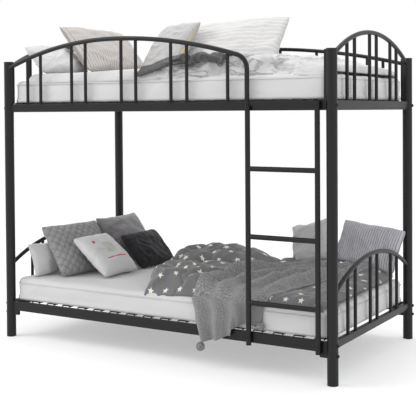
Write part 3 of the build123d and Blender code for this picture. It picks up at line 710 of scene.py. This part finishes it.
# ------------------------------------------------------------------ mattress
def mattress(name, node, body, seed, piping_drop):
    """A mattress in its sheet, with piping round it, piping_drop below its top."""
    low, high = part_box(node)
    size = high - low
    bm = bmesh.new()
    bmesh.ops.create_cube(bm, size=1.0)
    bmesh.ops.scale(bm, vec=size, verts=bm.verts)
    upright = [e for e in bm.edges if abs((e.verts[0].co - e.verts[1].co).z) > size.z / 2]
    bmesh.ops.bevel(bm, geom=upright, offset=MATTRESS_CORNER, segments=6, profile=0.5,
                    affect="EDGES", material=-1)
    rims = [e for e in bm.edges if abs(e.verts[0].co.z - e.verts[1].co.z) < 1e-6
            and e.verts[0].co.z > 0 and sum(abs(f.normal.z) > 0.9 for f in e.link_faces) == 1]
    bmesh.ops.bevel(bm, geom=rims, offset=MATTRESS_RIM, segments=6, profile=0.5,
                    affect="EDGES", material=-1)
    long_edges = [e for e in bm.edges if abs((e.verts[0].co - e.verts[1].co).x) > 1.0]
    bmesh.ops.subdivide_edges(bm, edges=long_edges, cuts=90, use_grid_fill=True)
    wide_edges = [e for e in bm.edges if abs((e.verts[0].co - e.verts[1].co).y) > 0.5]
    bmesh.ops.subdivide_edges(bm, edges=wide_edges, cuts=44, use_grid_fill=True)
    tall_edges = [e for e in bm.edges if abs((e.verts[0].co - e.verts[1].co).z) > 0.05]
    bmesh.ops.subdivide_edges(bm, edges=tall_edges, cuts=6, use_grid_fill=True)
    bmesh.ops.triangulate(bm, faces=[f for f in bm.faces if len(f.verts) > 4])
    bm.normal_update()
    for vertex in bm.verts:
        p = vertex.co
        soft = noise.noise(Vector((p.x * 4, p.y * 4, p.z * 9 + seed))) * 0.0040
        fine = (ripple(p.x, p.y + p.z, seed, 0.4, 2.0, 9.0) - 0.5) * 0.0034
        if p.z > -size.z / 2 + 0.02:
            vertex.co = p + vertex.normal * (soft + fine - 0.004)
    layer = bm.loops.layers.uv.new("cloth")
    for face in bm.faces:
        n = face.normal
        for loop in face.loops:
            c = loop.vert.co
            if abs(n.z) > 0.7:
                loop[layer].uv = (c.x, c.y)
            elif abs(n.y) > abs(n.x):
                loop[layer].uv = (c.x, c.z)
            else:
                loop[layer].uv = (c.y, c.z)
    loop_points = rounded_loop(
        size.x / 2 - 0.002, size.y / 2 - 0.002, MATTRESS_CORNER, size.z / 2 - piping_drop)
    join_tube(bm, loop_points, MATTRESS_PIPING, 1)
    bmesh.ops.translate(bm, vec=(low + high) / 2, verts=bm.verts)
    piece = finish_piece(name, bm, [MATERIALS["mattress_cloth"], MATERIALS["mattress_piping"]])
    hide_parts(node)
    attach(piece, body)


def rounded_loop(half_x, half_y, radius, z, steps=8):
    """Points of a level rectangle with round corners."""
    points = []
    for sx, sy, start in ((1, 1, 0), (-1, 1, 90), (-1, -1, 180), (1, -1, 270)):
        for index in range(steps + 1):
            angle = math.radians(start + 90 * index / steps)
            points.append(Vector((
                sx * (half_x - radius) + radius * math.cos(angle),
                sy * (half_y - radius) + radius * math.sin(angle), z)))
    return points


# -------------------------------------------------------------------- duvets
def edge_roll(distance, roll):
    """Rounding of a duvet's edge: 0 at the hem, 1 once it is a roll's width inside."""
    t = min(1.0, max(0.0, distance / roll))
    return math.sqrt(1 - (1 - t) ** 2)


def lower_duvet_height(x, y):
    """Height of the star duvet over the mattress: puffy at the left, flatter at the right."""
    puffy = 1 - smooth_step(x, -0.02, 0.50)
    body = 0.022 + 0.018 * puffy
    puffs = 0.050 * billow(x, y, 4.2, 0.55, 2.2, 5.2) * (0.22 + 0.95 * puffy)
    small = 0.030 * billow(x, y, 9.1, -0.35, 2.2, 9.5) * (0.20 + 0.9 * puffy)
    creases = 0.007 * ripple(x, y, 5.4, 0.9, 3.0, 16.0)
    hump = 0.022 * math.exp(-((x + 0.02) / 0.22) ** 2 - ((y - 0.22) / 0.16) ** 2)
    under_pillows = 0.032 * smooth_step(y, 0.18, 0.33) * smooth_step(x, 0.20, 0.40)
    return body + puffs + small + creases + hump + under_pillows


def crumple_zone(x):
    """How far the white duvet is thrown together at x, from 0 to 1."""
    return smooth_step(x, -0.12, 0.12) * (1 - smooth_step(x, 0.66, 0.90))


def upper_duvet_height(x, y):
    """Height of the white duvet: smooth at the pillows, thrown back and crumpled further on."""
    crumpled = crumple_zone(x)
    body = 0.024 + 0.016 * (1 - (y / 0.49) ** 2)
    swell = 0.010 * noise.noise(Vector((x * 2.6, y * 2.6, 8.4)))
    folds = 0.036 * billow(x, y, 2.2, 0.12, 2.6, 7.5) * crumpled
    creases = 0.024 * billow(x, y, 6.6, -0.3, 2.4, 14.0) * crumpled
    sharp = 0.010 * ripple(x, y, 8.8, 0.3, 3.0, 22.0) * crumpled
    calm = 0.006 * ripple(x, y, 3.3, 0.5, 3.0, 5.0)
    return body + swell + folds + creases + sharp + calm


def upper_front_fold(x, z):
    """How far the white duvet's front face is pushed in, in its thrown-together part."""
    deep = 0.050 * billow(x, z, 5.1, 0.16, 3.0, 17.0) + 0.020 * billow(x, z, 1.4, -0.25, 2.4, 34.0)
    return deep * crumple_zone(x)


def lower_front_fold(x, z):
    """How far the star duvet's front face is pushed in, in its puffy part."""
    puffy = 1 - smooth_step(x, 0.10, 0.60)
    return (0.046 * billow(x, z, 3.3, 0.5, 2.0, 9.0) + 0.016 * billow(x, z, 7.7, -0.6, 2.0, 18.0)) * puffy


def upper_hem_drop(x, y):
    """How far the white duvet falls at its long edges."""
    return 0.026 * smooth_step(abs(y), 0.440, 0.486)


def lower_hem_drop(x, y):
    """How far the star duvet falls at its front edge, most at its left corner."""
    corner = math.exp(-((x + 0.04) / 0.10) ** 2)
    return (0.012 + 0.036 * corner) * smooth_step(-y, 0.435, 0.492)


def follow_cloth(bm, layer, cells):
    """Unwraps a grid by the lengths along its columns, so that a print isn't stretched at the hem."""
    bm.verts.ensure_lookup_table()
    columns = cells[0] + 1
    along = [0.0] * len(bm.verts)
    for index in range(columns, len(bm.verts)):
        before = index - columns
        along[index] = along[before] + (bm.verts[index].co - bm.verts[before].co).length
    for face in bm.faces:
        for loop in face.loops:
            loop[layer].uv.y = along[loop.vert.index]


def duvet(name, node, body, outline, base, shape, roll, cloth, cells):
    """Closed quilt over a four-cornered outline of (x, y), given from its front left corner."""
    a, b, c, d = (Vector((*p, 0.0)) for p in outline)
    height_at, drop_at, fold_at = shape
    bm = bmesh.new()
    bmesh.ops.create_grid(bm, x_segments=cells[0], y_segments=cells[1], size=0.5)
    layer = bm.loops.layers.uv.new("cloth")
    long_side = ((b - a).length + (c - d).length) / 2
    short_side = ((d - a).length + (c - b).length) / 2
    for face in bm.faces:
        for loop in face.loops:
            co = loop.vert.co
            loop[layer].uv = (co.x * long_side, co.y * short_side)
    lifts = []
    for vertex in bm.verts:
        s, t = vertex.co.x + 0.5, vertex.co.y + 0.5
        wave = 0.010 * noise.noise(Vector((s * 7.0, t * 5.0, 2.5)))
        plan = a.lerp(b, s).lerp(d.lerp(c, s), t)
        inside = min(s * long_side, (1 - s) * long_side, t * short_side, (1 - t) * short_side)
        rise = height_at(plan.x, plan.y) * edge_roll(inside, roll)
        hem = 1 - smooth_step(inside, 0.0, 0.12)
        shift = wave * hem
        drop = drop_at(plan.x, plan.y)
        lifts.append(max(0.0, rise - 0.004))
        front = 1 - smooth_step(t * short_side, 0.02, 0.16)
        fold = fold_at(plan.x, rise - drop) * front * smooth_step(rise, 0.0, 0.020)
        vertex.co = Vector((plan.x + shift * 0.8, plan.y + BED_MIDDLE_Y + shift * 0.25 + fold,
                            base + 0.006 + rise - drop))
    follow_cloth(bm, layer, cells)
    copied = bmesh.ops.duplicate(bm, geom=bm.verts[:] + bm.edges[:] + bm.faces[:])["geom"]
    under = [g for g in copied if isinstance(g, bmesh.types.BMVert)]
    under_faces = [g for g in copied if isinstance(g, bmesh.types.BMFace)]
    for vertex, lift in zip(under, lifts):
        vertex.co.z -= lift
    bmesh.ops.reverse_faces(bm, faces=under_faces)
    bmesh.ops.remove_doubles(bm, verts=bm.verts, dist=0.0001)
    piece = finish_piece(name, bm, [cloth])
    add_subdivision(piece)
    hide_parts(node)
    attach(piece, body)


# ------------------------------------------------------------ throw and scarf
def sheet_grid(name, columns, rows, point_at, size, cloth, thick):
    """A sheet of cloth: point_at(s, t) places it, s across and t along, both from 0 to 1."""
    bm = bmesh.new()
    bmesh.ops.create_grid(bm, x_segments=columns, y_segments=rows, size=0.5)
    layer = bm.loops.layers.uv.new("cloth")
    for face in bm.faces:
        for loop in face.loops:
            co = loop.vert.co
            loop[layer].uv = (co.x * size[0], co.y * size[1])
    for vertex in bm.verts:
        vertex.co = point_at(vertex.co.x + 0.5, vertex.co.y + 0.5)
    piece = finish_piece(name, bm, [cloth])
    solid = piece.modifiers.new("Thickness", "SOLIDIFY")
    solid.thickness = thick
    solid.offset = 1.0
    return piece


def hem_height(s):
    """Height of the throw's hem at s across it."""
    for (s0, z0), (s1, z1) in zip(HEM_PROFILE, HEM_PROFILE[1:]):
        if s <= s1:
            return z0 + (z1 - z0) * smooth_step(s, s0, s1)
    return HEM_PROFILE[-1][1]


def pleats(s, t):
    """Long soft folds down the throw: 0 in a valley, 1 on a crest."""
    wander = 0.10 * math.sin(5.0 * t) + 0.05 * math.sin(11.0 * t + 2.0)
    wave = 0.5 + 0.5 * math.sin(math.tau * (3.6 * (s + wander * 0.35) + 0.15))
    return wave ** 1.2


def throw_point(s, t):
    """The knitted throw: from the back of the bed, over the front edge and down over the rail."""
    ridge = pleats(s, t)
    front_x = 0.215 + 0.395 * s
    if t <= THROW_TOP_SHARE:
        k = t / THROW_TOP_SHARE
        back_x = 0.50 + 0.34 * s
        y = 0.345 - 0.832 * k
        x = back_x + (front_x - back_x) * (k ** 0.75) + 0.012 * math.sin(7 * k + 2 * s)
        inside = min(THROW_EDGE + y, THROW_EDGE - y)
        lift = lower_duvet_height(x, y) * edge_roll(inside, LOWER_ROLL) - lower_hem_drop(x, y)
        depth = 0.30 + 0.70 * math.sin(math.pi * min(1.0, k * 1.05))
        z = LOWER_TOP + 0.011 + lift + 0.052 * ridge * depth
        return Vector((x, y + BED_MIDDLE_Y, z))
    k = (t - THROW_TOP_SHARE) / (1 - THROW_TOP_SHARE)
    outside = 1 - smooth_step(s, 0.54, 0.62)
    hem_z = hem_height(s)
    start_z = LOWER_TOP + 0.004
    z = start_z + (hem_z - start_z) * k
    mattress_y = MATTRESS_FRONT - 0.008
    rail_y = RAIL_FACE - 0.007
    over_rail = smooth_step(RAIL_TOP + 0.085 - z, 0.0, 0.070) * outside
    y = mattress_y + (rail_y - mattress_y) * over_rail
    near_rung = smooth_step(s, 0.72, 0.86)
    pleat = ridge * (0.016 + 0.018 * k * outside) * (1 - 0.75 * near_rung)
    turn = edge_roll(k, 0.14)
    y = (-THROW_EDGE + BED_MIDDLE_Y) * (1 - turn) + (y - pleat) * turn
    z += 0.006 * ridge * (1 - k) ** 6
    inward = 0.075 * k * (1 - s) ** 1.5
    return Vector((front_x + inward - 0.015 * k * s, y, z))


def scarf_point(s, t):
    """The dark scarf, thrown along the front of the white duvet; s runs back, t to the right."""
    bulge = math.sin(math.pi * min(1.0, 0.10 + 0.80 * t))
    x = -0.10 + 0.50 * t + 0.03 * (s - 0.5)
    y = -0.483 + 0.02 * t + s * (0.04 + 0.15 * bulge)
    inside = min(0.486 + y, 0.47 - y)
    rise = upper_duvet_height(x, y) * edge_roll(inside, UPPER_ROLL)
    front = 1 - smooth_step(inside, 0.02, 0.16)
    fold = upper_front_fold(x, rise - upper_hem_drop(x, y)) * front
    ridge = 0.5 + 0.5 * math.sin(math.tau * (2.6 * s + 0.9 * t))
    z = UPPER_TOP + 0.013 + rise - upper_hem_drop(x, y) + 0.018 * ridge * bulge
    return Vector((x, y + BED_MIDDLE_Y + 0.6 * fold - 0.010, z))


def pompom(bm, centre, radius, seed):
    """Adds a tufted ball of yarn to bm."""
    made = bmesh.ops.create_icosphere(bm, subdivisions=5, radius=1.0)
    for vertex in made["verts"]:
        direction = vertex.co.normalized()
        tuft = noise.noise(direction * 9.0 + Vector((seed, 0, 0)))
        strand = noise.noise(direction * 30.0 + Vector((0, seed, 0)))
        vertex.co = centre + direction * radius * (0.92 + 0.10 * tuft + 0.10 * strand)


def throw_pompoms():
    """The two pompoms at the throw's corners, with the outer one's string."""
    low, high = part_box("throw_pompoms")
    inset, radius = OUTER_POMPOM
    outer = Vector((low.x + inset, low.y + inset, low.z + inset))
    bm = bmesh.new()
    pompom(bm, outer, radius, 1.0)
    inset, radius = INNER_POMPOM
    pompom(bm, Vector((high.x - inset, high.y - inset, high.z - inset)), radius, 2.0)
    string = bmesh.ops.create_cone(
        bm, cap_ends=True, segments=8, radius1=STRING_RADIUS, radius2=STRING_RADIUS,
        depth=STRING_LENGTH)
    bmesh.ops.translate(bm, vec=outer + Vector((0, 0.010, 0.030)), verts=string["verts"])
    layer = bm.loops.layers.uv.new("cloth")
    for face in bm.faces:
        for loop in face.loops:
            loop[layer].uv = (loop.vert.co.x + loop.vert.co.y, loop.vert.co.z)
    pompoms = finish_piece("throw_pompom_pair", bm, [MATERIALS["grey_knit"]])
    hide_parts("throw_pompoms")
    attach(pompoms, "lower_bed")
    return pompoms


# ----------------------------------------------------------------- properties
class BedLook(bpy.types.PropertyGroup):
    frame_colour: FloatVectorProperty(
        name="Frame colour", description="Powder coat on the steel", subtype="COLOR",
        size=3, min=0, max=1, default=(0.0050, 0.0050, 0.0058))
    frame_roughness: FloatProperty(
        name="Frame roughness", description="Lower is glossier", default=0.40, min=0.1, max=1)
    white_cloth: FloatVectorProperty(
        name="White cloth", description="Sheets and white pillows", subtype="COLOR",
        size=3, min=0, max=1, default=(0.60, 0.595, 0.60))
    star_cloth: FloatVectorProperty(
        name="Star duvet", description="Ground colour of the star duvet", subtype="COLOR",
        size=3, min=0, max=1, default=(0.160, 0.157, 0.162))


class ThrowSizes(bpy.types.PropertyGroup):
    width: FloatProperty(
        name="Throw width", description="Cut width of the knitted throw", default=0.455, unit="LENGTH")
    length: FloatProperty(
        name="Throw length", description="Cut length of the knitted throw", default=1.09, unit="LENGTH")
    thickness: FloatProperty(
        name="Knit thickness", description="Thickness of the knitted cloth", default=0.006, unit="LENGTH")
    scarf_width: FloatProperty(
        name="Scarf width", description="Cut width of the dark scarf", default=0.20, unit="LENGTH")
    scarf_length: FloatProperty(
        name="Scarf length", description="Cut length of the dark scarf", default=0.565, unit="LENGTH")


class StudioView(bpy.types.PropertyGroup):
    lens: FloatProperty(name="Lens", description="Focal length in mm", default=81.42)
    heading: FloatProperty(
        name="Heading", description="Turn of the camera about Z", subtype="ANGLE",
        default=math.atan2(0.512, 0.859))
    roll: FloatProperty(
        name="Roll", description="Turn of the camera about its axis", subtype="ANGLE", default=-0.0066)
    pitch: FloatProperty(
        name="Pitch", description="Turn of the camera downwards", subtype="ANGLE",
        default=math.radians(1.2))
    height: FloatProperty(name="Height", description="Camera height", default=1.233, unit="LENGTH")


# ------------------------------------------------------------------ operators
class BUNK_OT_frame(bpy.types.Operator):
    """Give every steel and plastic part its finish"""
    bl_idname = "bunk.frame"
    bl_label = "Finish Frame"

    def execute(self, context):
        make_materials(context.scene.bed_look)
        slots = {s["node"]: s["material_slot"] for s in frame["record"]["subparts"]}
        for node, piece in frame["nodes"].items():
            if slots[node] not in MATERIALS:
                raise RuntimeError(f"no finish for {node}")
            piece.data.materials.clear()
            piece.data.materials.append(MATERIALS[slots[node]])
        return {"FINISHED"}


class BUNK_OT_mattresses(bpy.types.Operator):
    """Make both mattresses in their white sheets"""
    bl_idname = "bunk.mattresses"
    bl_label = "Mattresses"

    def execute(self, context):
        mattress("upper_mattress", "mattress_upper", "upper_bed", 3.0, 0.024)
        mattress("lower_mattress", "mattress_lower", "lower_bed", 7.0, 0.030)
        return {"FINISHED"}


class BUNK_OT_duvets(bpy.types.Operator):
    """Make the white duvet above and the star duvet below"""
    bl_idname = "bunk.duvets"
    bl_label = "Duvets"

    def execute(self, context):
        upper = [(-0.86, -0.486), (0.925, -0.486), (0.925, 0.470), (-0.86, 0.470)]
        duvet("upper_duvet", "duvet_upper", "upper_bed", upper, UPPER_TOP,
              (upper_duvet_height, upper_hem_drop, upper_front_fold), UPPER_ROLL,
              MATERIALS["duvet_cloth"], (230, 120))
        lower = [(-0.085, -0.492), (0.905, -0.484), (0.905, 0.455), (-0.43, 0.40)]
        duvet("lower_duvet", "duvet_lower", "lower_bed", lower, LOWER_TOP,
              (lower_duvet_height, lower_hem_drop, lower_front_fold), LOWER_ROLL,
              MATERIALS["grey_star_cloth"], (180, 130))
        return {"FINISHED"}


class BUNK_OT_upper_pillows(bpy.types.Operator):
    """Make the pillows and cushions of the upper bed"""
    bl_idname = "bunk.upper_pillows"
    bl_label = "Upper Pillows"

    def execute(self, context):
        make_cushions("upper_bed", UPPER_CUSHIONS)
        return {"FINISHED"}


class BUNK_OT_lower_pillows(bpy.types.Operator):
    """Make the pillows and cushions of the lower bed"""
    bl_idname = "bunk.lower_pillows"
    bl_label = "Lower Pillows"

    def execute(self, context):
        make_cushions("lower_bed", LOWER_CUSHIONS)
        return {"FINISHED"}


class BUNK_OT_throw(bpy.types.Operator):
    """Make the knitted throw with its pompoms, and the dark scarf"""
    bl_idname = "bunk.throw"
    bl_label = "Throw and Scarf"

    def execute(self, context):
        sizes = context.scene.throw_sizes
        flat = (sizes.width, sizes.length)
        throw = sheet_grid("knitted_throw", 110, 190, throw_point, flat, MATERIALS["grey_knit"],
                           sizes.thickness)
        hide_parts("throw_lower")
        pompoms = throw_pompoms()
        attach(throw, "lower_bed")

        flat = (sizes.scarf_width, sizes.scarf_length)
        scarf = sheet_grid("dark_scarf", 48, 64, scarf_point, flat, MATERIALS["dark_knit"],
                           sizes.thickness)
        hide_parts("scarf_upper")
        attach(scarf, "upper_bed")
        return {"FINISHED"}


class BUNK_OT_stage(bpy.types.Operator):
    """Make the floor, the light and the camera"""
    bl_idname = "bunk.stage"
    bl_label = "Stage"

    def execute(self, context):
        scene = context.scene
        view = scene.studio_view
        bm = bmesh.new()
        bmesh.ops.create_grid(bm, x_segments=8, y_segments=8, size=30.0)
        material, tree, shader = new_material("Pale floor", 0.85, specular=0.1)
        shade = noise_value(tree, coordinates(tree, "Object"), 0.8, 2.0)
        tree.links.new(mix_colour(tree, shade, (0.66, 0.66, 0.665), (0.68, 0.68, 0.685)),
                       shader.inputs["Base Color"])
        shader.inputs["Emission Color"].default_value = (1.0, 1.0, 1.0, 1.0)
        shader.inputs["Emission Strength"].default_value = FLOOR_GLOW
        floor = finish_piece("studio_floor", bm, [material], smooth=False)

        world = bpy.data.worlds.new("Studio")
        scene.world = world
        world.use_nodes = True
        background = world.node_tree.nodes["Background"]
        background.inputs["Color"].default_value = (1.0, 1.0, 1.0, 1.0)
        background.inputs["Strength"].default_value = 1.0
        for name, place, size, power in LIGHTS:
            lamp = bpy.data.lights.new(name, "AREA")
            lamp.size = size
            lamp.energy = power
            holder = bpy.data.objects.new(name, lamp)
            holder.location = place
            aim = LIGHT_AIM - Vector(place)
            holder.rotation_euler = aim.to_track_quat("-Z", "Y").to_euler()
            scene.collection.objects.link(holder)

        camera = bpy.data.cameras.new("camera")
        camera.sensor_width = 36.0
        camera.lens = view.lens
        camera.shift_x, camera.shift_y = CAMERA_SHIFT
        camera.clip_end = 100.0
        holder = bpy.data.objects.new("camera", camera)
        holder.location = (CAMERA_X, CAMERA_Y, view.height)
        turn = (
            Matrix.Rotation(view.heading, 4, "Z")
            @ Matrix.Rotation(math.pi / 2 - view.pitch, 4, "X")
            @ Matrix.Rotation(view.roll, 4, "Z")
        )
        holder.rotation_euler = turn.to_euler()
        scene.collection.objects.link(holder)
        scene.camera = holder
        scene.view_settings.view_transform = "Standard"
        scene.view_settings.look = "None"
        return {"FINISHED"}


class BUNK_PT_panel(bpy.types.Panel):
    """The bunk bed's steps"""
    bl_label = "Bunk Bed"
    bl_idname = "BUNK_PT_panel"
    bl_space_type = "VIEW_3D"
    bl_region_type = "UI"
    bl_category = "Bunk Bed"

    def draw(self, context):
        for step in STEPS:
            self.layout.operator(step.bl_idname)
        for group in (context.scene.bed_look, context.scene.throw_sizes, context.scene.studio_view):
            for name in group.__annotations__:
                self.layout.prop(group, name)


STEPS = (
    BUNK_OT_frame, BUNK_OT_mattresses, BUNK_OT_duvets, BUNK_OT_upper_pillows,
    BUNK_OT_lower_pillows, BUNK_OT_throw, BUNK_OT_stage,
)
CLASSES = (BedLook, ThrowSizes, StudioView) + STEPS + (BUNK_PT_panel,)


def register():
    for entry in CLASSES:
        bpy.utils.register_class(entry)
    bpy.types.Scene.bed_look = PointerProperty(type=BedLook)
    bpy.types.Scene.throw_sizes = PointerProperty(type=ThrowSizes)
    bpy.types.Scene.studio_view = PointerProperty(type=StudioView)


def unregister():
    del bpy.types.Scene.studio_view
    del bpy.types.Scene.throw_sizes
    del bpy.types.Scene.bed_look
    for entry in reversed(CLASSES):
        bpy.utils.unregister_class(entry)


def main():
    register()
    bpy.ops.bunk.frame()
    bpy.ops.bunk.mattresses()
    bpy.ops.bunk.duvets()
    bpy.ops.bunk.upper_pillows()
    bpy.ops.bunk.lower_pillows()
    bpy.ops.bunk.throw()
    bpy.ops.bunk.stage()


if __name__ == "__main__":
    main()
